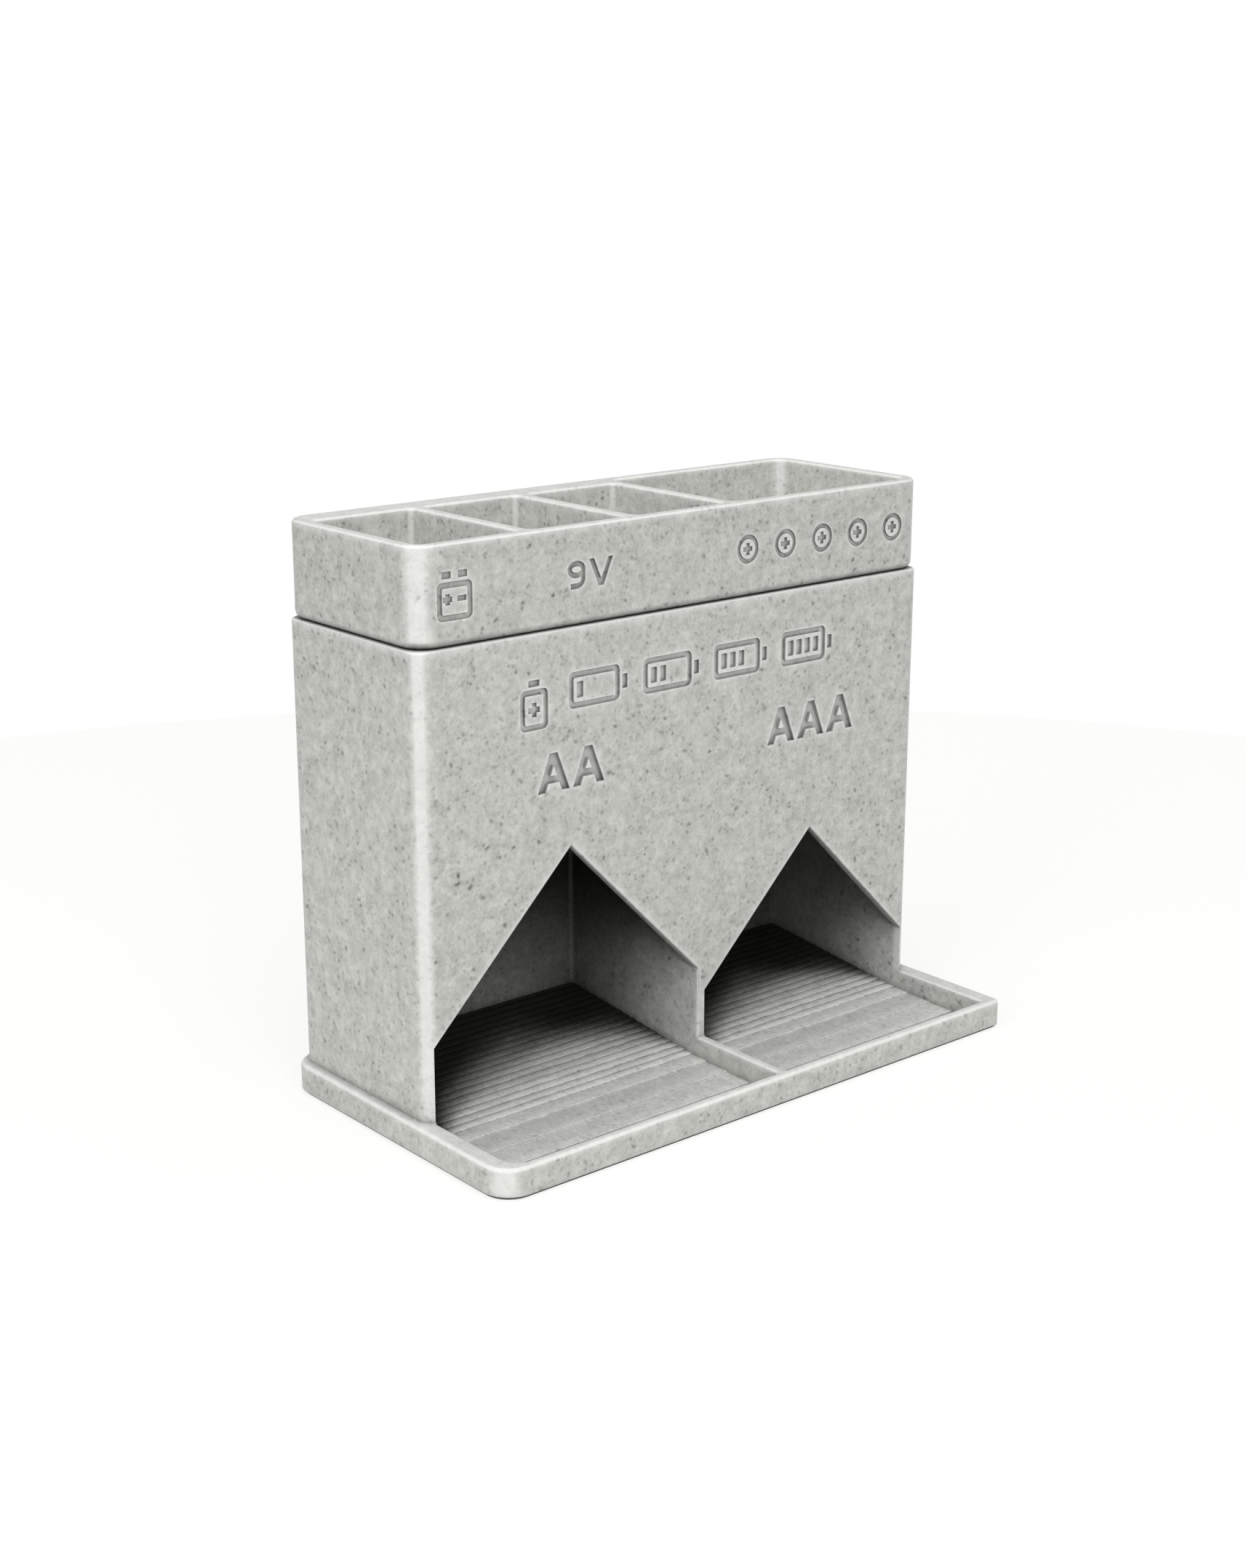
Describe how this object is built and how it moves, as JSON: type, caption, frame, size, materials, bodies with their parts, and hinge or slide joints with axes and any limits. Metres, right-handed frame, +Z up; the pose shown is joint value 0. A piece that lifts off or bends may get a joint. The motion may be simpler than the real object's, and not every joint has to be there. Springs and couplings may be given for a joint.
{
  "type": "battery dispenser",
  "caption": "Upright gravity dispenser: AA and AAA bays feed stepped ramps and a rimmed apron, under a lift-off tray with pockets for 9 V blocks and coin cells",
  "frame": {"origin": "Middle of the base's underside, on the surface that the dispenser stands on", "axes": "+X to the right along the front, from the AA bay to the AAA bay; +Y from the apron to the back; +Z up"},
  "size_m": [0.106, 0.056, 0.0915],
  "materials": {
    "body_plastic": "printed light grey PLA with fine dark flecks, satin",
    "tray_plastic": "printed light grey PLA with fine dark flecks, satin"
  },
  "bodies": {
    "dispenser": {"dispenser_body": "body_plastic"},
    "tray": {"top_tray": "tray_plastic"}
  },
  "joints": [
    {"name": "tray_lift", "type": "slide", "parent": "dispenser", "child": "tray", "axis": [0, 0, 1], "range_m": [0, 0.04]}
  ]
}
